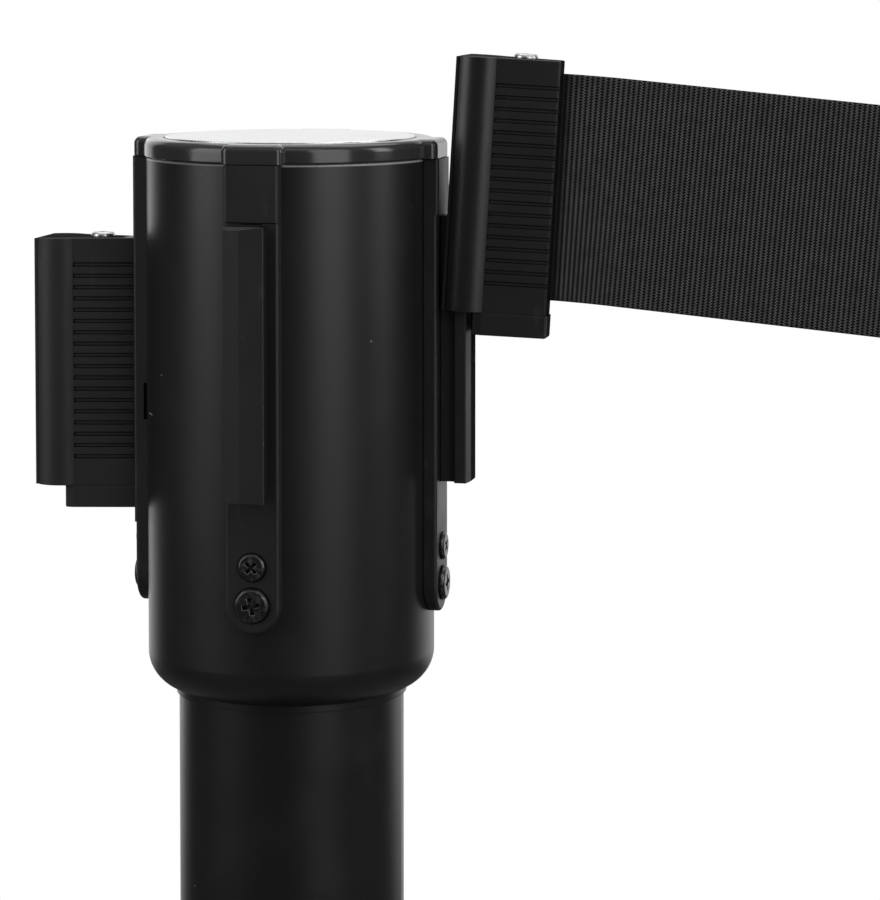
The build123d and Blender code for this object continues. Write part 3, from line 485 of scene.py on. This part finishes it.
# This webbing carries a painted shadow where it leaves the belt end
DOCKED_WEBBING = webbing("webbing_docked", unrolled_sides, 0.35, painted_shadow_by_the_end)


def dress_cad_nodes():
    """Puts its own material, or else that of its record slot, on every CAD node."""
    for row in RECORD["subparts"]:
        mesh = NODES[row["node"]].data
        material = NODE_MATERIALS.get(row["node"], SLOT_MATERIALS[row["material_slot"]])
        if not mesh.materials:
            mesh.materials.append(material)
        for index in range(len(mesh.materials)):
            mesh.materials[index] = material


# Webbing pieces ---------------------------------------------------------------------


def new_piece(name, points, faces, uv_of_point=None):
    """Smooth mesh object from points and faces, with an optional UV pair per point."""
    mesh = bpy.data.meshes.new(name)
    mesh.from_pydata([tuple(p) for p in points], [], [tuple(f) for f in faces])
    mesh.update()
    if uv_of_point is not None:
        corners = np.empty(len(mesh.loops), dtype=np.int32)
        mesh.loops.foreach_get("vertex_index", corners)
        layer = mesh.uv_layers.new(name="strap")
        layer.data.foreach_set("uv", np.asarray(uv_of_point, float)[corners].ravel())
    mesh.polygons.foreach_set("use_smooth", [True] * len(mesh.polygons))
    piece = bpy.data.objects.new(name, mesh)
    bpy.context.scene.collection.objects.link(piece)
    return piece


def resampled(path, step, lengths_of=slice(None)):
    """Rows at about equal distances along a polyline, and their distances from its start.
    lengths_of picks the columns that are places, if the rows hold other values too."""
    path = np.asarray(path, float)
    lengths = np.linalg.norm(np.diff(path[:, lengths_of], axis=0), axis=1)
    reach = np.concatenate([[0], np.cumsum(lengths)])
    count = max(2, int(round(reach[-1] / step)) + 1)
    at = np.linspace(0, reach[-1], count)
    columns = [np.interp(at, reach, path[:, axis]) for axis in range(path.shape[1])]
    return np.column_stack(columns), at


def strap_mesh(name, centre, along, across, width, rows, relief=0.0):
    """Closed strap along centre line points. along holds their distances from the start and
    across the unit vector over the strap at each. relief is the height of its ribs."""
    half = width / 2
    tangent = np.gradient(centre, axis=0)
    tangent /= np.linalg.norm(tangent, axis=1)[:, None]
    face = np.cross(across, tangent)
    face /= np.linalg.norm(face, axis=1)[:, None]
    v = np.linspace(-half, half, rows)
    inner = np.minimum(1.0, (half - np.abs(v)) / EDGE_ROUND)
    edge_drop = np.sqrt(np.clip(1 - (1 - inner) ** 2, 0.08, 1))
    rib = 0.5 + 0.5 * np.cos(2 * math.pi * along / RIB_PITCH)
    stagger = math.pi * np.mod(np.floor(along / RIB_PITCH), 2)
    yarn = 0.5 + 0.5 * np.cos(2 * math.pi * (v[None, :] + half) / YARN_PITCH + stagger[:, None])
    bump = relief * (rib[:, None] * (0.45 + 0.55 * yarn) - 0.5)
    lift = (BELT_THICK / 2 + bump) * edge_drop[None, :]
    flat = centre[:, None, :] + across[:, None, :] * v[None, :, None]
    front = flat + face[:, None, :] * lift[:, :, None]
    back = flat - face[:, None, :] * lift[:, :, None]
    stations = len(centre)
    points = np.concatenate([front.reshape(-1, 3), back.reshape(-1, 3)])
    uv = np.empty((stations, rows, 2))
    uv[:, :, 0] = along[:, None] / UV_UNIT
    uv[:, :, 1] = (v[None, :] + half) / UV_UNIT
    uv = np.concatenate([uv.reshape(-1, 2)] * 2)
    index = np.arange(stations * rows).reshape(stations, rows)
    corners = [index[:-1, :-1], index[1:, :-1], index[1:, 1:], index[:-1, 1:]]
    quads = np.stack(corners, -1).reshape(-1, 4)
    shift = stations * rows
    rim = np.concatenate([index[:, 0], index[-1, 1:], index[-2::-1, -1], index[0, -2:0:-1]])
    rim_next = np.roll(rim, -1)
    sides = np.stack([rim, rim + shift, rim_next + shift, rim_next], -1)
    faces = np.concatenate([quads, quads[:, ::-1] + shift, sides])
    return new_piece(name, points, faces, uv)


def loop_path(pin_r, pin_to_back):
    """(u, y) line of the webbing in a belt end, with u = 0 at the pin and its back at
    pin_to_back: in from the back, round the pin and out to the hem."""
    radius = pin_r + PIN_GAP + BELT_THICK / 2
    first = math.pi / 2 - math.acos(HEM_SHIFT / radius)
    turns = np.linspace(first, 2 * math.pi - first, LOOP_POINTS)
    around = [(radius * math.cos(turn), radius * math.sin(turn)) for turn in turns]
    entry = (pin_to_back - ENTRY_SETBACK, 0)
    aside = (entry[0] - STEP_ASIDE, HEM_SHIFT)
    hem = (pin_to_back - HEM_SETBACK, -HEM_SHIFT)
    return [entry, aside, *around, hem]


def belt_end_sizes():
    """Pin radius, distance from the pin to the belt end's back, and the pin's length."""
    pin_low, pin_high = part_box("own_end_pin")
    _, body_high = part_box("own_end_body")
    pin_r = (pin_high.x - pin_low.x) / 2
    pin_to_back = body_high.x - (pin_low.x + pin_high.x) / 2
    return pin_r, pin_to_back, pin_high.z - pin_low.z


def make_own_webbing():
    """The head's own belt, from the roll round a guide and out of the mouth to the pin."""
    pin_r, pin_to_back, _ = belt_end_sizes()
    pin_low, pin_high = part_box("own_end_pin")
    pin_x = (pin_low.x + pin_high.x) / 2
    belt_low, belt_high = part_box("own_belt")
    guide_low, guide_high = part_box("belt_guides")
    guide_r = (guide_high.x - guide_low.x) / 2
    guide = ((guide_low.x + guide_high.x) / 2, guide_high.y - guide_r)
    roll_low, roll_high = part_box("belt_roll")
    roll_r = (roll_high.x - roll_low.x) / 2 + BELT_THICK / 2
    bend_r = guide[1]
    turn = math.atan2(guide[1], guide[0]) - math.acos((roll_r + bend_r) / math.hypot(*guide))
    leave = (roll_r * math.cos(turn), roll_r * math.sin(turn))
    bends = np.linspace(turn + math.pi, 1.5 * math.pi, GUIDE_BEND_POINTS)
    bend = [(guide[0] + bend_r * math.cos(t), guide[1] + bend_r * math.sin(t)) for t in bends]
    inside = [(pin_x + u, y) for u, y in loop_path(pin_r, pin_to_back)]
    plan, along = resampled([leave, *bend, *inside], OWN_STEP)
    middle = (belt_low.z + belt_high.z) / 2
    centre = np.column_stack([plan, np.full(len(plan), middle)])
    across = np.tile((0.0, 0.0, 1.0), (len(plan), 1))
    strap = strap_mesh("own_webbing", centre, along, across, belt_high.z - belt_low.z, OWN_ROWS)
    strap.data.materials.append(SLOT_MATERIALS["black_webbing"])
    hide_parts("own_belt")
    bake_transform(strap)


def make_belt_roll():
    """The wound belt as a spiral on the drum."""
    low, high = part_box("belt_roll")
    outer = (high.x - low.x) / 2
    angles = np.linspace(0, 2 * math.pi * ROLL_TURNS, ROLL_POINTS_PER_TURN * ROLL_TURNS + 1)
    radius = np.linspace(ROLL_INNER_R, outer - BELT_THICK / 2, len(angles))
    middle = np.full(len(angles), (low.z + high.z) / 2)
    centre = np.column_stack([radius * np.cos(angles), radius * np.sin(angles), middle])
    across = np.tile((0.0, 0.0, 1.0), (len(angles), 1))
    along = np.concatenate([[0], np.cumsum(np.linalg.norm(np.diff(centre, axis=0), axis=1))])
    roll = strap_mesh("belt_roll_wound", centre, along, across, high.z - low.z, ROLL_ROWS)
    roll.data.materials.append(ROLLED_WEBBING)
    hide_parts("belt_roll")
    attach(roll, "drum")


def docked_tilt(pin_r, pin_length):
    """Lean of the docked belt end, from how wide its leaning pin's box is."""
    low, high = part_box("docked_end_pin")
    across = 2 * pin_r
    diagonal = math.hypot(across, pin_length)
    return math.asin((high.x - low.x) / diagonal) - math.atan2(across, pin_length)


def downhill(angle):
    """Unit vector towards +X that falls by an angle."""
    return Vector((math.cos(angle), 0, -math.sin(angle)))


def make_docked_webbing():
    """The neighbour's belt: round its pin, out of the belt end and off on a slope."""
    pin_r, pin_to_back, pin_length = belt_end_sizes()
    tilt = docked_tilt(pin_r, pin_length)
    own_belt_low, own_belt_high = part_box("own_belt")
    own_pin_low, own_pin_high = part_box("own_end_pin")
    width = own_belt_high.z - own_belt_low.z
    belt_above_pin = (own_belt_low.z + own_belt_high.z) / 2 - (own_pin_low.z + own_pin_high.z) / 2
    pin_low, pin_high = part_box("docked_end_pin")
    pin = (pin_low + pin_high) / 2
    ahead = downhill(tilt)
    upward = Vector((math.sin(tilt), 0, math.cos(tilt)))
    hem = pin + upward * belt_above_pin
    _, cut_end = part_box("docked_belt")
    centre = []
    angles = []
    for u, y in reversed(loop_path(pin_r, pin_to_back)):
        centre.append(hem + ahead * u + Vector((0, y, 0)))
        angles.append(tilt)
    out = hem + ahead * (pin_to_back + DOCKED_STRAIGHT)
    for index in range(DOCKED_BENDS + 1):
        angle = tilt + (DOCKED_SLOPE - tilt) * index / DOCKED_BENDS
        centre.append(out.copy())
        angles.append(angle)
        out = out + downhill(angle) * DOCKED_BEND_STEP
    run_x = cut_end.x - width / 2 * math.sin(DOCKED_SLOPE) - centre[-1].x
    centre.append(centre[-1] + downhill(DOCKED_SLOPE) * (run_x / math.cos(DOCKED_SLOPE)))
    angles.append(DOCKED_SLOPE)
    line = np.column_stack([np.array(centre), np.array(angles)])
    stations, along = resampled(line, DOCKED_STEP, slice(3))
    lean = stations[:, 3]
    across = np.column_stack([np.sin(lean), np.zeros(len(lean)), np.cos(lean)])
    strap = strap_mesh("docked_webbing", stations[:, :3], along, across, width, DOCKED_ROWS, RIB_RELIEF)
    strap.data.materials.append(DOCKED_WEBBING)
    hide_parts("docked_belt")
    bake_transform(strap)


# Stage ------------------------------------------------------------------------------


def white_surroundings():
    """Camera rays see white. Reflections see white behind the object, as the camera looks,
    a soft light overhead and dim grey in front."""
    world = bpy.data.worlds.new("surroundings")
    bpy.context.scene.world = world
    world.use_nodes = True
    graph = Graph("surroundings", world.node_tree)
    direction = graph.add("NewGeometry").outputs["Incoming"]
    split = graph.add("SeparateXYZ", Vector=direction)
    behind = Vector((-math.sin(CAMERA_AZIMUTH), math.cos(CAMERA_AZIMUTH), 0))
    facing = graph.vector_math("DOT_PRODUCT", direction, -behind).outputs["Value"]
    back_light = graph.remap(facing, 0.66, 0.98, 0.065, 1.0)
    overhead = graph.remap(graph.math("MULTIPLY", split.outputs["Z"], -1.0), 0.2, 0.9, 0.0, 0.45)
    level = graph.math("MAXIMUM", back_light, overhead)
    camera_ray = graph.add("LightPath").outputs["Is Camera Ray"]
    painted_crest_light = graph.math("MAXIMUM", level, camera_ray)
    background = graph.add("Background", Color=(1.0, 1.0, 1.0), Strength=painted_crest_light)
    output = graph.add("OutputWorld")
    graph.tree.links.new(background.outputs[0], output.inputs["Surface"])


def make_floor():
    """Pale round floor that fades to white at its edge. Reflections see it dim."""
    turns = [2 * math.pi * index / FLOOR_SIDES for index in range(FLOOR_SIDES)]
    points = [(FLOOR_RADIUS * math.cos(turn), FLOOR_RADIUS * math.sin(turn), 0) for turn in turns]
    floor = new_piece("floor", points, [range(FLOOR_SIDES)])
    graph = Graph("floor")
    coords = graph.object_coords()
    away = graph.vector_math("LENGTH", coords).outputs["Value"]
    fade = graph.remap(away, *FLOOR_FADE)
    seen = graph.add("LightPath").outputs["Is Camera Ray"]
    color = graph.mix(seen, (0.16, 0.16, 0.16), (0.86, 0.86, 0.86))
    roughness = graph.remap(graph.noise(coords, 4, 3), 0.3, 0.7, 0.7, 0.85)
    matte = graph.add("BsdfPrincipled", Base_Color=color, Roughness=roughness)
    glow = graph.remap(seen, 0.0, 1.0, 0.06, 1.0)
    white = graph.add("Emission", Color=(1.0, 1.0, 1.0), Strength=glow)
    blend = graph.add("MixShader")
    graph.put(blend.inputs[0], fade)
    graph.tree.links.new(matte.outputs[0], blend.inputs[1])
    graph.tree.links.new(white.outputs[0], blend.inputs[2])
    output = graph.add("OutputMaterial")
    graph.tree.links.new(blend.outputs[0], output.inputs["Surface"])
    floor.data.materials.append(graph.material)


def softbox(name, azimuth, distance, height, size, power, aim_height):
    """Soft rectangular light that looks at a point on the post's axis, in metres and watts.
    Azimuth is in degrees: 0 is in front (-Y) and + is towards +X."""
    light = bpy.data.lights.new(name, "AREA")
    light.shape = "RECTANGLE"
    light.size, light.size_y = size
    light.energy = power
    turn = math.radians(azimuth)
    place = Vector((math.sin(turn) * distance, -math.cos(turn) * distance, height))
    lamp = bpy.data.objects.new(name, light)
    lamp.location = place
    lamp.rotation_euler = (place - Vector((0, 0, aim_height))).to_track_quat("Z", "Y").to_euler()
    lamp.visible_camera = False
    bpy.context.scene.collection.objects.link(lamp)


def make_lights():
    softbox("left_softbox", -54, 1.3, 1.35, (0.72, 1.1), 6.6, 1.1)
    softbox("right_softbox", 46, 1.3, 1.3, (0.7, 1.2), 5.8, 1.05)
    softbox("side_softbox", 91, 1.5, 1.38, (0.42, 1.0), 5.6, 1.1)
    softbox("high_softbox", 14, 0.9, 1.95, (1.1, 0.25), 0.9, 0.93)
    softbox("top_softbox", 180, 0.7, 2.4, (1.6, 1.2), 12, 0.9)
    softbox("rear_left_softbox", -140, 1.9, 1.1, (1.2, 1.6), 4, 0.8)
    softbox("rear_right_softbox", 150, 1.9, 1.1, (1.2, 1.6), 4, 0.8)


def make_camera():
    """Camera in front of the head, a little above it and towards +X."""
    back = Vector(
        (
            math.sin(CAMERA_AZIMUTH) * math.cos(CAMERA_PITCH),
            -math.cos(CAMERA_AZIMUTH) * math.cos(CAMERA_PITCH),
            math.sin(CAMERA_PITCH),
        )
    )
    right = Vector((math.cos(CAMERA_AZIMUTH), math.sin(CAMERA_AZIMUTH), 0))
    target = right * CAMERA_TARGET_RIGHT + Vector((0, 0, CAMERA_TARGET_HEIGHT))
    camera = bpy.data.objects.new("camera", bpy.data.cameras.new("camera"))
    camera.location = target + back * CAMERA_DISTANCE
    camera.rotation_euler = back.to_track_quat("Z", "Y").to_euler()
    camera.data.lens = CAMERA_LENS_MM
    camera.data.sensor_width = 36
    camera.data.clip_start = 0.01
    bpy.context.scene.collection.objects.link(camera)
    bpy.context.scene.camera = camera
    for name, shift in zip(("shift_x", "shift_y"), CAMERA_SHIFT):
        driver = camera.data.driver_add(name).driver
        driver.type = "SCRIPTED"
        variable = driver.variables.new()
        variable.name = "place"
        variable.type = "TRANSFORMS"
        variable.targets[0].id = camera
        variable.targets[0].transform_type = "LOC_X"
        off_place = f"abs(place - {camera.location.x:.5f})"
        driver.expression = f"{shift} * ({off_place} < {SHIFT_TOLERANCE})"


dress_cad_nodes()
make_own_webbing()
make_belt_roll()
make_docked_webbing()
white_surroundings()
make_floor()
make_lights()
make_camera()
bpy.context.scene.view_settings.view_transform = "Standard"
